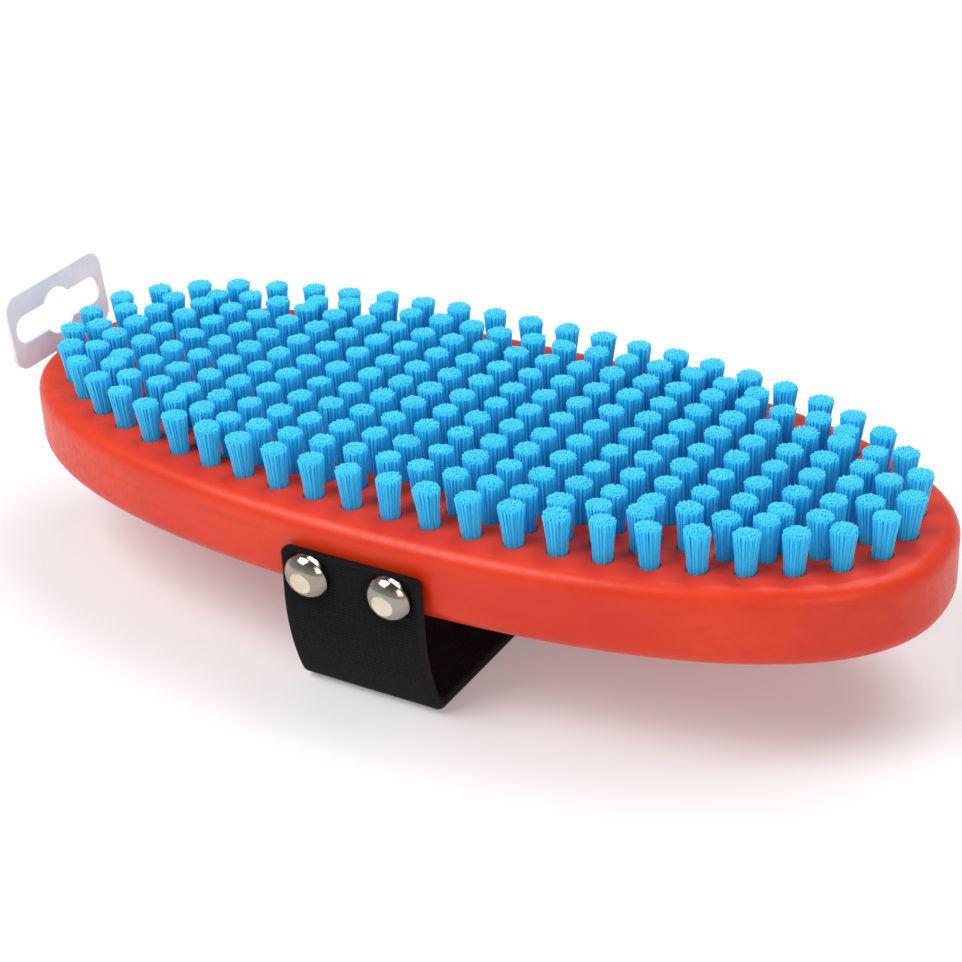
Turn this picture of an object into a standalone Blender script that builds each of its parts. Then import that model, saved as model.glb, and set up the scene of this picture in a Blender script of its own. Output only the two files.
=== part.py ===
"""Oval hand brush for grooming and waxing: a lacquered block with nylon tufts and a hand strap.

The brush rests on its strap with the tufts up. X is the long axis, the hang tab stands at the -X
end, and the origin is on the strap's flat underside, below the block's middle. Sizes are in metres.
"""
import math

import bmesh
import bpy
from mathutils import Matrix, Vector

# Block: an oval outline (superellipse) with rounded rims.
BLOCK_LENGTH = 0.1916
BLOCK_WIDTH = 0.0825
BLOCK_THICKNESS = 0.0154
OUTLINE_POWER = 2.26
TOP_RIM_RADIUS = 0.0032
BACK_RIM_RADIUS = 0.0038
OUTLINE_SEGMENTS = 96
RIM_SEGMENTS = 3

# Tufts: a grid of rows along X, and one ring of tufts that follows the outline.
TUFT_SIDES = 6
TUFT_HEIGHT = 0.008
TUFT_TIP_RADIUS = 0.00225
TUFT_FACE_RADIUS = 0.00185
COLUMN_PITCH = 0.0070
ROWS_EACH_SIDE = 4
RING_INSET = 0.0079
RING_TO_ROWS = 0.0065
RING_PITCH = 0.0081
RING_ARCS = 5

# Root bars: the strips under the face that hold one group's tufts together. The ring's bars pass
# above the ends of the rows' bars.
RING_BAR_DEPTH = 0.0030
ROW_BAR_DEPTH = 0.0060
BAR_THICKNESS = 0.0012
BAR_WIDTH = 0.0032

# Hand strap: one flat band, down the near side, across under the hand and up the far side. It sits
# a little off the block's middle, away from the hang tab.
STRAP_WIDTH = 0.0292
STRAP_SHIFT = 0.0011
STRAP_THICKNESS = 0.0022
STRAP_DROP = 0.0204
STRAP_TOP_BELOW_FACE = 0.0056
STRAP_BOW_RADIUS = 0.0465
STRAP_FOLD_RADIUS = 0.0040
STRAP_CORNER_RADIUS = 0.0015
FOLD_SEGMENTS = 5

# Studs: four dome-headed studs through the strap ends into the block's side.
STUD_SPACING = 0.0171
STUD_ABOVE_BACK = 0.0054
STUD_HEAD_RADIUS = 0.0045
STUD_CROWN_RADIUS = 0.0022
STUD_HEAD_HEIGHT = 0.0024
STUD_RIM_HEIGHT = 0.0005
STUD_SHANK_RADIUS = 0.0017
STUD_GRIP = 0.0095

# Hang tab: a flat plastic tab with a hanging slot, on one small screw in the block's end.
TAB_WIDTH = 0.0300
TAB_THICKNESS = 0.0010
TAB_BELOW_FACE = 0.0019
TAB_ABOVE_FACE = 0.0138
TAB_CORNER_RADIUS = 0.0032
TAB_NECK_WIDTH = 0.0056
TAB_FOOT_RADIUS = 0.0042
TAB_LEAN = math.radians(6.0)
SLOT_WIDTH = 0.0265
SLOT_WING_HEIGHT = 0.0056
SLOT_BULB_RADIUS = 0.0048
SLOT_ABOVE_FACE = 0.0061
TAB_SCREW_HEAD_RADIUS = 0.0027
TAB_SCREW_HEAD_HEIGHT = 0.0015
TAB_SCREW_SHANK_RADIUS = 0.0012
TAB_SCREW_GRIP = 0.0080

# Clearance between faces that touch on the real brush.
FIT_GAP = 0.0003
ROUND_SEGMENTS = 16

# Heights and places worked out from the sizes above.
BACK_Z = STRAP_DROP
FACE_Z = BACK_Z + BLOCK_THICKNESS
END_X = -BLOCK_LENGTH / 2
SIDE_Y = BLOCK_WIDTH / 2
STUD_Z = BACK_Z + STUD_ABOVE_BACK
TAB_SCREW_Z = BACK_Z + BLOCK_THICKNESS / 2
STRAP_INNER_Y = SIDE_Y + FIT_GAP
STRAP_OUTER_Y = STRAP_INNER_Y + STRAP_THICKNESS
TAB_INNER_X = END_X - FIT_GAP
TAB_OUTER_X = TAB_INNER_X - TAB_THICKNESS

# The rows share the width inside the ring. Tufts side by side keep a gap between their tips, and a
# row may shift towards its neighbour until their tips, or the channels of their bars, get that near.
ROW_PITCH = (BLOCK_WIDTH / 2 - RING_INSET - RING_TO_ROWS) / ROWS_EACH_SIDE
LEAST_TUFT_SPACING = 2 * TUFT_TIP_RADIUS + FIT_GAP
TIP_FLATS = 2 * TUFT_TIP_RADIUS * math.cos(math.pi / TUFT_SIDES)
MOST_ROW_SHIFT = ROW_PITCH - max(TIP_FLATS + FIT_GAP, BAR_WIDTH + 3 * FIT_GAP)

NYLON_COLOUR = (0.05, 0.48, 0.90, 1.0)
BLOCK_COLOUR = (0.80, 0.075, 0.03, 1.0)
STRAP_COLOUR = (0.012, 0.012, 0.014, 1.0)
CHROME_COLOUR = (0.78, 0.76, 0.72, 1.0)
TAB_COLOUR = (0.70, 0.70, 0.72, 1.0)


def clear_scene():
    for item in list(bpy.data.objects):
        bpy.data.objects.remove(item, do_unlink=True)


def make_material(name, colour, roughness, metallic=0.0):
    material = bpy.data.materials.new(name)
    material.use_nodes = True
    shader = material.node_tree.nodes["Principled BSDF"]
    shader.inputs["Base Color"].default_value = colour
    shader.inputs["Roughness"].default_value = roughness
    shader.inputs["Metallic"].default_value = metallic
    return material


def object_from_bmesh(name, mesh_data, material=None, smooth=False):
    bmesh.ops.recalc_face_normals(mesh_data, faces=mesh_data.faces)
    mesh = bpy.data.meshes.new(name)
    mesh_data.to_mesh(mesh)
    mesh_data.free()
    item = bpy.data.objects.new(name, mesh)
    bpy.context.scene.collection.objects.link(item)
    if material is not None:
        mesh.materials.append(material)
    if smooth:
        mesh.shade_smooth()
        mesh.set_sharp_from_angle(angle=math.radians(35.0))
    return item


def mark_as_cutter(item):
    item.hide_render = True
    item.display_type = "WIRE"
    return item


def add_boolean(item, other, operation):
    modifier = item.modifiers.new(other.name, "BOOLEAN")
    modifier.operation = operation
    modifier.solver = "EXACT"
    modifier.object = other


def superellipse_point(half_length, half_width, angle):
    cosine = math.cos(angle)
    sine = math.sin(angle)
    power = 2.0 / OUTLINE_POWER
    x = half_length * math.copysign(abs(cosine) ** power, cosine)
    y = half_width * math.copysign(abs(sine) ** power, sine)
    return Vector((x, y))


def superellipse_loop(inset, count):
    """Points spaced evenly along the block's outline, moved in by inset."""
    half_length = BLOCK_LENGTH / 2 - inset
    half_width = BLOCK_WIDTH / 2 - inset
    fine_count = 4000
    fine = [
        superellipse_point(half_length, half_width, 2 * math.pi * step / fine_count)
        for step in range(fine_count + 1)
    ]
    travelled = [0.0]
    for start, end in zip(fine, fine[1:]):
        travelled.append(travelled[-1] + (end - start).length)
    points = []
    step = 0
    for index in range(count):
        target = travelled[-1] * index / count
        while travelled[step + 1] < target:
            step += 1
        share = (target - travelled[step]) / (travelled[step + 1] - travelled[step])
        points.append(fine[step].lerp(fine[step + 1], share))
    return points


def loop_length(points):
    closed = points[1:] + points[:1]
    return sum((end - start).length for start, end in zip(points, closed))


def solid_from_rings(name, rings, material=None, smooth=False):
    """A closed solid from equal rings of points, capped at both ends."""
    mesh_data = bmesh.new()
    vertex_rings = [[mesh_data.verts.new(point) for point in ring] for ring in rings]
    mesh_data.faces.new(vertex_rings[0])
    mesh_data.faces.new(reversed(vertex_rings[-1]))
    for lower, upper in zip(vertex_rings, vertex_rings[1:]):
        for index in range(len(lower)):
            following = (index + 1) % len(lower)
            mesh_data.faces.new((lower[index], upper[index], upper[following], lower[following]))
    return object_from_bmesh(name, mesh_data, material, smooth)


def prism(name, outline, low_z, high_z, material=None):
    rings = [[(x, y, height) for x, y in outline] for height in (low_z, high_z)]
    return solid_from_rings(name, rings, material)


def turned_solid(name, profile, placement, material=None):
    """A solid of revolution about Z from (radius, height) pairs, moved by placement."""
    rings = []
    for radius, height in profile:
        ring = []
        for index in range(ROUND_SEGMENTS):
            angle = 2 * math.pi * index / ROUND_SEGMENTS
            point = Vector((radius * math.cos(angle), radius * math.sin(angle), height))
            ring.append(placement @ point)
        rings.append(ring)
    return solid_from_rings(name, rings, material, smooth=True)


def blunt_end(point, outward, half_width):
    """Four points round the end of a strip, from its left to its right as seen along outward."""
    side = Vector((-outward.y, outward.x))
    bevel = half_width * math.tan(math.pi / 8)
    reaches = ((bevel, half_width), (half_width, bevel), (half_width, -bevel), (bevel, -half_width))
    return [point + outward * along + side * across for along, across in reaches]


def ribbon_outline(line, half_width):
    """The outline of a flat strip of even width along a line, with a blunt end past each end point."""
    left = []
    right = []
    for before, point, after in zip(line, line[1:], line[2:]):
        into = (point - before).normalized()
        out = (after - point).normalized()
        along = (into + out).normalized()
        side = Vector((-along.y, along.x)) * (half_width / along.dot(into))
        left.append(point + side)
        right.append(point - side)
    first = blunt_end(line[0], (line[0] - line[1]).normalized(), half_width)
    last = blunt_end(line[-1], (line[-1] - line[-2]).normalized(), half_width)
    return left + last + right[::-1] + first


def corners_of(points):
    """The points where the line turns, with both ends."""
    kept = [points[0]]
    for before, point, after in zip(points, points[1:], points[2:]):
        turn = (point - before).normalized().dot((after - point).normalized())
        if turn < 0.99999:
            kept.append(point)
    kept.append(points[-1])
    return kept


# ---------------------------------------------------------------- tufts

def grid_half_sizes():
    """Half the length and half the width of the oval that the grid's tufts stay inside."""
    inset = RING_INSET + LEAST_TUFT_SPACING
    return BLOCK_LENGTH / 2 - inset, BLOCK_WIDTH / 2 - inset


def oval_reach(distance, half_across, half_along):
    """How far an oval reaches along one axis, at this distance from that axis."""
    share = min(abs(distance) / half_across, 1.0)
    return half_along * (1.0 - share ** OUTLINE_POWER) ** (1.0 / OUTLINE_POWER)


def row_stations(row):
    """The tuft centres of one row, from -X to +X. Near its ends a row gives way to the ring."""
    half_length, half_width = grid_half_sizes()
    row_y = abs(row) * ROW_PITCH
    least_y = row_y - MOST_ROW_SHIFT
    side = -1 if row < 0 else 1
    right = []
    x = COLUMN_PITCH
    while x < half_length and oval_reach(x, half_length, half_width) >= least_y:
        y = min(row_y, oval_reach(x, half_length, half_width))
        right.append(Vector((x, side * y)))
        x += COLUMN_PITCH
    if least_y > 0.0:
        end_x = oval_reach(least_y, half_width, half_length)
        if end_x - right[-1].x > LEAST_TUFT_SPACING:
            right.append(Vector((end_x, side * least_y)))
    left = [Vector((-point.x, point.y)) for point in reversed(right)]
    return left + [Vector((0.0, side * row_y))] + right


def ring_stations():
    """The tuft centres of the outer ring, counterclockwise from the +X end."""
    length = loop_length(superellipse_loop(RING_INSET, OUTLINE_SEGMENTS))
    per_arc = round(length / (RING_PITCH * RING_ARCS))
    return superellipse_loop(RING_INSET, per_arc * RING_ARCS)


def tuft_bodies(name, stations, root_z, clearance):
    """Tapered tufts with flat tips, all in one mesh, reaching down to root_z."""
    mesh_data = bmesh.new()
    flare = (TUFT_TIP_RADIUS - TUFT_FACE_RADIUS) / TUFT_HEIGHT
    root_radius = TUFT_FACE_RADIUS - flare * (FACE_Z - root_z)
    grow = clearance / math.cos(math.pi / TUFT_SIDES)
    tip_z = FACE_Z + TUFT_HEIGHT
    ends = ((root_radius + grow, root_z - clearance), (TUFT_TIP_RADIUS + grow, tip_z))
    for station in stations:
        rings = []
        for radius, height in ends:
            ring = []
            for side in range(TUFT_SIDES):
                angle = 2 * math.pi * side / TUFT_SIDES
                x = station.x + radius * math.cos(angle)
                y = station.y + radius * math.sin(angle)
                ring.append(mesh_data.verts.new((x, y, height)))
            rings.append(ring)
        mesh_data.faces.new(rings[0])
        mesh_data.faces.new(reversed(rings[1]))
        for side in range(TUFT_SIDES):
            after = (side + 1) % TUFT_SIDES
            mesh_data.faces.new((rings[0][side], rings[1][side], rings[1][after], rings[0][after]))
    return mark_as_cutter(object_from_bmesh(name, mesh_data))


def tuft_group(name, stations, bar_depth, clearance, material=None):
    """One root bar with its tufts joined on; with a clearance, the room that the block leaves for it."""
    outline = ribbon_outline(corners_of(stations), BAR_WIDTH / 2 + clearance)
    bar_top_z = FACE_Z - bar_depth
    bar_low_z = bar_top_z - BAR_THICKNESS
    group = prism(name, outline, bar_low_z - clearance, bar_top_z + clearance, material)
    tufts = tuft_bodies(name + "_tufts", stations, bar_top_z - BAR_THICKNESS / 2, clearance)
    add_boolean(group, tufts, "UNION")
    return group


def tuft_layout():
    """Every group of tufts: its name, its tuft centres and how deep its root bar lies."""
    groups = []
    for row in range(-ROWS_EACH_SIDE, ROWS_EACH_SIDE + 1):
        name = "tuft_row_%d" % (row + ROWS_EACH_SIDE + 1)
        groups.append((name, row_stations(row), ROW_BAR_DEPTH))
    ring = ring_stations()
    per_arc = len(ring) // RING_ARCS
    for arc in range(RING_ARCS):
        name = "tuft_ring_%d" % (arc + 1)
        groups.append((name, ring[arc * per_arc:(arc + 1) * per_arc], RING_BAR_DEPTH))
    return groups


def build_tufts(material):
    """Builds the tuft groups and returns the cutters that make room for them in the block."""
    cutters = []
    for name, stations, bar_depth in tuft_layout():
        tuft_group(name, stations, bar_depth, 0.0, material)
        room = tuft_group("room_for_" + name, stations, bar_depth, FIT_GAP)
        cutters.append(mark_as_cutter(room))
    return cutters


# ---------------------------------------------------------------- block

def block_levels():
    """(inset, height) of each ring of the block's side, from the back face to the tuft face."""
    levels = []
    for segment in range(RIM_SEGMENTS + 1):
        angle = math.pi / 2 * segment / RIM_SEGMENTS
        inset = BACK_RIM_RADIUS * (1 - math.sin(angle))
        levels.append((inset, BACK_Z + BACK_RIM_RADIUS * (1 - math.cos(angle))))
    for segment in range(RIM_SEGMENTS + 1):
        angle = math.pi / 2 * segment / RIM_SEGMENTS
        inset = TOP_RIM_RADIUS * (1 - math.cos(angle))
        levels.append((inset, FACE_Z - TOP_RIM_RADIUS * (1 - math.sin(angle))))
    return levels


def build_block(material, cutters):
    rings = []
    for inset, height in block_levels():
        loop = superellipse_loop(inset, OUTLINE_SEGMENTS)
        rings.append([(point.x, point.y, height) for point in loop])
    block = solid_from_rings("brush_block", rings, material, smooth=True)
    for cutter in cutters:
        add_boolean(block, cutter, "DIFFERENCE")
    return block


# ---------------------------------------------------------------- studs and strap

def stud_placement(column, side):
    """Turns a solid made along +Z so that it points into the block's side."""
    facing = Matrix.Rotation(math.radians(90.0 * side), 4, "X")
    column_x = STRAP_SHIFT + column * STUD_SPACING / 2
    return Matrix.Translation((column_x, side * STRAP_OUTER_Y, STUD_Z)) @ facing


def stud_profile():
    """(radius, height) pairs from the shank's end, inside the block, to the crown."""
    head_seat = -FIT_GAP
    rim = head_seat - STUD_RIM_HEIGHT
    crown = head_seat - STUD_HEAD_HEIGHT
    shoulder_radius = (STUD_HEAD_RADIUS + STUD_CROWN_RADIUS) / 2
    shoulder = rim + (crown - rim) * 0.72
    return [
        (STUD_SHANK_RADIUS * 0.35, STRAP_THICKNESS + STUD_GRIP),
        (STUD_SHANK_RADIUS, STRAP_THICKNESS + STUD_GRIP - STUD_SHANK_RADIUS),
        (STUD_SHANK_RADIUS, head_seat),
        (STUD_HEAD_RADIUS, head_seat),
        (STUD_HEAD_RADIUS, rim),
        (shoulder_radius, shoulder),
        (STUD_CROWN_RADIUS, crown),
    ]


def build_studs(material):
    """Builds the four studs and returns the bores that they need."""
    bores = []
    bore_radius = STUD_SHANK_RADIUS + FIT_GAP
    bore = [(bore_radius, STRAP_THICKNESS + STUD_GRIP + FIT_GAP), (bore_radius, -STRAP_THICKNESS)]
    for side, side_name in ((-1, "near"), (1, "far")):
        for column, column_name in ((-1, "left"), (1, "right")):
            place = stud_placement(column, side)
            name = "strap_stud_%s_%s" % (side_name, column_name)
            turned_solid(name, stud_profile(), place, material)
            bores.append(mark_as_cutter(turned_solid("bore_of_" + name, bore, place)))
    return bores


def arc_points(centre, radius, start, end, segments):
    points = []
    for index in range(segments + 1):
        angle = start + (end - start) * index / segments
        points.append(centre + Vector((math.cos(angle), math.sin(angle))) * radius)
    return points


def half_strap_profile():
    """(y, z) points of the strap's -Y half: down the outside, and back up the inside.

    Each leg is upright beside the block, bows inward below it and folds into the flat span.
    """
    top_z = FACE_Z - STRAP_TOP_BELOW_FACE
    bow = STRAP_BOW_RADIUS
    fold = STRAP_FOLD_RADIUS
    bow_centre = Vector((bow - STRAP_OUTER_Y, BACK_Z))
    rise = BACK_Z - fold
    fold_centre = bow_centre - Vector((math.sqrt((bow - fold) ** 2 - rise ** 2), rise))
    turn = math.asin(rise / (bow - fold))
    upright = math.pi
    leaning = math.pi + turn
    flat = math.pi * 1.5
    outer = [Vector((-STRAP_OUTER_Y, top_z))]
    outer += arc_points(bow_centre, bow, upright, leaning, FOLD_SEGMENTS)
    outer += arc_points(fold_centre, fold, leaning, flat, FOLD_SEGMENTS)[1:]
    inner_bow = bow - STRAP_THICKNESS
    inner_fold = fold - STRAP_THICKNESS
    inner = arc_points(fold_centre, inner_fold, flat, leaning, FOLD_SEGMENTS)
    inner += arc_points(bow_centre, inner_bow, leaning, upright, FOLD_SEGMENTS)[1:]
    inner.append(Vector((-STRAP_INNER_Y, top_z)))
    return outer, inner


def strap_profile():
    outer, inner = half_strap_profile()
    far_outer = [Vector((-point.x, point.y)) for point in reversed(outer)]
    far_inner = [Vector((-point.x, point.y)) for point in reversed(inner)]
    return outer + far_outer + far_inner + inner


def round_strap_corners(mesh_data):
    """Rounds the four free corners of the band."""
    top_z = FACE_Z - STRAP_TOP_BELOW_FACE
    corner_edges = []
    for edge in mesh_data.edges:
        first, second = (vertex.co for vertex in edge.verts)
        at_top = min(first.z, second.z) > top_z - FIT_GAP
        across = abs(first.x - second.x) < FIT_GAP
        if at_top and across:
            corner_edges.append(edge)
    bmesh.ops.bevel(
        mesh_data,
        geom=corner_edges,
        offset=STRAP_CORNER_RADIUS,
        segments=3,
        profile=0.5,
        affect="EDGES",
    )


def build_strap(material, bores):
    mesh_data = bmesh.new()
    rings = []
    for x in (STRAP_SHIFT - STRAP_WIDTH / 2, STRAP_SHIFT + STRAP_WIDTH / 2):
        rings.append([mesh_data.verts.new((x, point.x, point.y)) for point in strap_profile()])
    mesh_data.faces.new(rings[0])
    mesh_data.faces.new(reversed(rings[1]))
    for index in range(len(rings[0])):
        after = (index + 1) % len(rings[0])
        mesh_data.faces.new((rings[0][index], rings[1][index], rings[1][after], rings[0][after]))
    round_strap_corners(mesh_data)
    strap = object_from_bmesh("hand_strap", mesh_data, material)
    for bore in bores:
        add_boolean(strap, bore, "DIFFERENCE")
    return strap


# ---------------------------------------------------------------- hang tab

def rounded_corner(corner, before, after, radius, segments=4):
    """Points that replace a square corner by a quarter circle."""
    into = (before - corner).normalized()
    out = (after - corner).normalized()
    centre = corner + (into + out) * radius
    points = []
    for index in range(segments + 1):
        angle = math.pi / 2 * index / segments
        points.append(centre - out * radius * math.cos(angle) - into * radius * math.sin(angle))
    return points


def tab_outline():
    """The tab's outline in (y, z): the round foot, the neck and the wide head."""
    half = TAB_WIDTH / 2
    low = FACE_Z - TAB_BELOW_FACE
    high = FACE_Z + TAB_ABOVE_FACE
    neck = TAB_NECK_WIDTH / 2
    corners = [
        Vector((half, low)),
        Vector((half, high)),
        Vector((-half, high)),
        Vector((-half, low)),
    ]
    start_angle = math.acos(neck / TAB_FOOT_RADIUS)
    foot_centre = Vector((0.0, TAB_SCREW_Z))
    outline = [Vector((neck, low))]
    for index, corner in enumerate(corners):
        before = corners[index - 1] if index else Vector((0.0, low))
        after = corners[index + 1] if index < 3 else Vector((0.0, low))
        outline += rounded_corner(corner, before, after, TAB_CORNER_RADIUS)
    outline.append(Vector((-neck, low)))
    outline += arc_points(
        foot_centre, TAB_FOOT_RADIUS, math.pi - start_angle, 2 * math.pi + start_angle, 12
    )
    return outline


def slot_outline():
    """The hanging slot: two narrow wings with a round bulb in the middle."""
    wing = SLOT_WING_HEIGHT / 2
    reach = SLOT_WIDTH / 2 - wing
    centre = Vector((0.0, FACE_Z + SLOT_ABOVE_FACE))
    meet = math.asin(wing / SLOT_BULB_RADIUS)
    right_end = centre + Vector((reach, 0.0))
    left_end = centre - Vector((reach, 0.0))
    quarter = math.pi / 2
    outline = arc_points(right_end, wing, -quarter, quarter, 6)
    outline += arc_points(centre, SLOT_BULB_RADIUS, meet, math.pi - meet, 8)
    outline += arc_points(left_end, wing, quarter, 3 * quarter, 6)
    outline += arc_points(centre, SLOT_BULB_RADIUS, math.pi + meet, 2 * math.pi - meet, 8)
    return outline


def screw_hole_outline():
    centre = Vector((0.0, TAB_SCREW_Z))
    radius = TAB_SCREW_SHANK_RADIUS + FIT_GAP
    points = arc_points(centre, radius, 0.0, 2 * math.pi, 12)
    return points[:-1]


def lean_out(mesh_data, bend_z):
    """Bends the tab outward about a line across its neck."""
    everything = mesh_data.verts[:] + mesh_data.edges[:] + mesh_data.faces[:]
    bmesh.ops.bisect_plane(
        mesh_data, geom=everything, dist=1e-7, plane_co=(0.0, 0.0, bend_z), plane_no=(0.0, 0.0, 1.0)
    )
    pivot = Vector((TAB_INNER_X, 0.0, bend_z))
    turn = Matrix.Rotation(-TAB_LEAN, 4, "Y")
    above = [vertex for vertex in mesh_data.verts if vertex.co.z > bend_z + 1e-6]
    bmesh.ops.transform(
        mesh_data,
        matrix=Matrix.Translation(pivot) @ turn @ Matrix.Translation(-pivot),
        verts=above,
    )


def build_hang_tab(material):
    mesh_data = bmesh.new()
    for outline in (tab_outline(), slot_outline(), screw_hole_outline()):
        loop = [mesh_data.verts.new((TAB_OUTER_X, point.x, point.y)) for point in outline]
        for start, end in zip(loop, loop[1:] + loop[:1]):
            mesh_data.edges.new((start, end))
    bmesh.ops.triangle_fill(mesh_data, use_beauty=True, edges=mesh_data.edges[:])
    made = bmesh.ops.extrude_face_region(mesh_data, geom=mesh_data.faces[:])
    moved = [part for part in made["geom"] if isinstance(part, bmesh.types.BMVert)]
    bmesh.ops.translate(mesh_data, verts=moved, vec=(TAB_THICKNESS, 0.0, 0.0))
    foot_top = TAB_SCREW_Z + TAB_FOOT_RADIUS
    lean_out(mesh_data, (foot_top + FACE_Z - TAB_BELOW_FACE) / 2)
    return object_from_bmesh("hang_tab", mesh_data, material)


def build_tab_screw(material):
    """Builds the tab's screw and returns the bore that it needs in the block."""
    place = Matrix.Translation((TAB_OUTER_X, 0.0, TAB_SCREW_Z)) @ Matrix.Rotation(math.pi / 2, 4, "Y")
    seat = -FIT_GAP
    crown = seat - TAB_SCREW_HEAD_HEIGHT
    tip = TAB_THICKNESS + TAB_SCREW_GRIP
    profile = [
        (TAB_SCREW_SHANK_RADIUS * 0.3, tip),
        (TAB_SCREW_SHANK_RADIUS, tip - 2 * TAB_SCREW_SHANK_RADIUS),
        (TAB_SCREW_SHANK_RADIUS, seat),
        (TAB_SCREW_HEAD_RADIUS, seat),
        (TAB_SCREW_HEAD_RADIUS * 0.93, seat + (crown - seat) * 0.5),
        (TAB_SCREW_HEAD_RADIUS * 0.60, crown),
    ]
    turned_solid("tab_screw", profile, place, material)
    bore_radius = TAB_SCREW_SHANK_RADIUS + FIT_GAP
    bore = [(bore_radius, tip + FIT_GAP), (bore_radius, -TAB_THICKNESS)]
    return mark_as_cutter(turned_solid("bore_of_tab_screw", bore, place))


def build_brush():
    clear_scene()
    lacquer = make_material("red_lacquer", BLOCK_COLOUR, 0.30)
    nylon = make_material("blue_nylon", NYLON_COLOUR, 0.45)
    webbing = make_material("black_webbing", STRAP_COLOUR, 0.80)
    chrome = make_material("bright_chrome", CHROME_COLOUR, 0.15, 1.0)
    plastic = make_material("clear_white_plastic", TAB_COLOUR, 0.35)
    rooms = build_tufts(nylon)
    stud_bores = build_studs(chrome)
    screw_bore = build_tab_screw(chrome)
    build_strap(webbing, stud_bores)
    build_hang_tab(plastic)
    build_block(lacquer, rooms + stud_bores + [screw_bore])


build_brush()
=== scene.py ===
"""Looks of an oval hand brush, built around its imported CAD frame. All sizes are in metres."""

import math

import bmesh
import bpy
import numpy as np
from mathutils import Matrix, Vector, noise


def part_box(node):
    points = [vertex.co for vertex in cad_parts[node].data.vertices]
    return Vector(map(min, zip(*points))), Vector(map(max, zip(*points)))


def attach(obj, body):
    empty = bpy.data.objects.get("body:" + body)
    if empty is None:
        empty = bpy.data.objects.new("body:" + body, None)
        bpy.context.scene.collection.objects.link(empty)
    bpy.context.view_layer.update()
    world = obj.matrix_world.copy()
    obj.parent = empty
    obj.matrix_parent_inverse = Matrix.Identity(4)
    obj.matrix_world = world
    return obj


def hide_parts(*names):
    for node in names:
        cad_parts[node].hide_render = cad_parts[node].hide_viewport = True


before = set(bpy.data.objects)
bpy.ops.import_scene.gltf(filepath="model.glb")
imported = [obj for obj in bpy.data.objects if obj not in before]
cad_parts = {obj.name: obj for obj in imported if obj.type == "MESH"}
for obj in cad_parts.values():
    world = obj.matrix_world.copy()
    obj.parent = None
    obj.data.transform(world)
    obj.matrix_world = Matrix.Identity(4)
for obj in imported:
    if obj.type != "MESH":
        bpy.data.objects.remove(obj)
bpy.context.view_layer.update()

# Places from the CAD frame.
BLOCK_LOW, BLOCK_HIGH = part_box("brush_block")
STRAP_LOW, STRAP_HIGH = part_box("hand_strap")
STRAP_MIDDLE_X = (STRAP_LOW.x + STRAP_HIGH.x) / 2
STRAP_HALF_WIDTH = (STRAP_HIGH.x - STRAP_LOW.x) / 2
TAB_LOW, TAB_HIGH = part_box("hang_tab")
SCREW_LOW, SCREW_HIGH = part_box("tab_screw")
TUFT_TOP_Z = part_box("tuft_row_5")[1].z
BACK_Z = BLOCK_LOW.z
FACE_Z = BLOCK_HIGH.z
TUFT_HEIGHT = TUFT_TOP_Z - FACE_Z

# Block: the oval outline, its rims and the tuft holes.
OUTLINE_POWER = 2.26
OUTLINE_STEPS = 360
TOP_RIM_RADIUS = 0.0032
BACK_RIM_RADIUS = 0.0038
RIM_STEPS = 10
SIDE_STEPS = 5
RIM_BORDER = 0.0005
HOLE_RADIUS = 0.00190
HOLE_BEVEL = 0.00018
HOLE_DEPTH = 0.0030
HOLE_STEPS = 20

# Tufts: bundles of nylon filaments that stand in the holes and flare towards their trimmed tops.
FILAMENTS = 108
OUTER_SHARE = 0.72
INNER_START = 0.55
FILAMENT_RADIUS = 0.00022
FILAMENT_SIDES = 6
TUFT_ROOT_RADIUS = 0.00183
TUFT_TOP_RADIUS = 0.00262
FLARE_POWER = 1.25
ROOT_SINK = 0.0012
TOP_CROWN = 0.00040
TIP_LENGTH_SCATTER = 0.00009
TIP_PLACE_SCATTER = 0.00005
TRIM_SLOPE = 0.035
TUFT_LEAN = 0.018
RING_LEAN = 0.065
TIP_SHARE = 0.62
TONE_SCATTER = 0.22
GOLDEN_ANGLE = math.pi * (3.0 - math.sqrt(5.0))

# Strap: the band's path and section.
STRAP_THICKNESS = 0.0022
STRAP_BOW_RADIUS = 0.0465
STRAP_FOLD_RADIUS = 0.0040
STRAP_CORNER_RADIUS = 0.0015
STRAP_EDGE_RADIUS = 0.0007
STRAP_STATIONS = 220
STRAP_ACROSS = 36
STRAP_EDGE_STEPS = 6
STRAP_RIPPLE = 0.00010
STRAP_END_REACH = 0.0004
STRAP_END_THINNING = 0.55
RIB_PITCH = 0.00062
YARN_PITCH = 0.00110
DIMPLE_DEPTH = 0.00035
DIMPLE_REACH = 0.0056

# Studs and the tab's screw.
STUD_HEAD_HEIGHT = 0.0024
STUD_SEAT_SINK = 0.0007
STUD_CROWN_RADIUS = 0.0022
STUD_TILT = math.radians(7.0)
TURNED_STEPS = 72
SCREW_HEAD_HEIGHT = 0.0015
SCREW_SLOT_LENGTH = 0.0030
SCREW_SLOT_WIDTH = 0.0006
SCREW_SLOT_DEPTH = 0.0008

# Hang tab.
TAB_THICKNESS = 0.0010
TAB_EDGE = 0.00022
TAB_BELOW_FACE = 0.0019
TAB_CORNER_RADIUS = 0.0032
TAB_HEAD_TOP_ABOVE_FACE = 0.0138
TAB_NECK_WIDTH = 0.0056
TAB_FOOT_RADIUS = 0.0042
TAB_LEAN = math.radians(6.0)
SLOT_WIDTH = 0.0265
SLOT_WING_HEIGHT = 0.0056
SLOT_BULB_RADIUS = 0.0048
SLOT_ABOVE_FACE = 0.0061
SCREW_HOLE_RADIUS = 0.0015

# Camera: it looks down on the near side from the right.
CAMERA_PLACE = (0.1977, -0.3234, 0.2360)
CAMERA_BACK = (0.45050, -0.74839, 0.48679)
CAMERA_ROLL = math.radians(-2.493)
CAMERA_LENS = 84.8

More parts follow.
